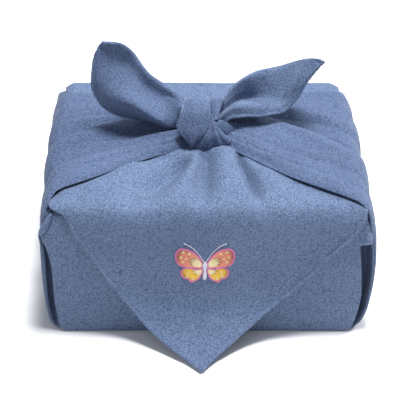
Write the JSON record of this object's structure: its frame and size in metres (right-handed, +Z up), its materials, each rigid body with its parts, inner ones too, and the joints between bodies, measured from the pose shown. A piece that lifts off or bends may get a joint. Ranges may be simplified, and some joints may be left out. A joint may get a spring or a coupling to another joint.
{
  "type": "furoshiki wrap",
  "caption": "Square crepe cloth tied round a flat gift box, with a corner hanging over the front, a square knot on top and a stitched butterfly.",
  "frame": {"origin": "middle of the flat underside, where the wrap stands", "axes": "+X to the right as seen from the front, -Y to the front with the hanging corner, +Z up to the knot"},
  "size_m": [0.2255, 0.2228, 0.1756],
  "materials": {
    "crepe": "fine pebbled matte",
    "salmon_thread": "satin thread",
    "gold_thread": "satin thread",
    "ivory_thread": "satin thread"
  },
  "bodies": {
    "root": {"cloth": "crepe", "upper_wing_right": "salmon_thread", "upper_wing_left": "salmon_thread", "lower_wing_right": "gold_thread", "lower_wing_left": "gold_thread", "motif_body": "ivory_thread", "antenna_right": "ivory_thread", "antenna_left": "ivory_thread"}
  },
  "joints": []
}
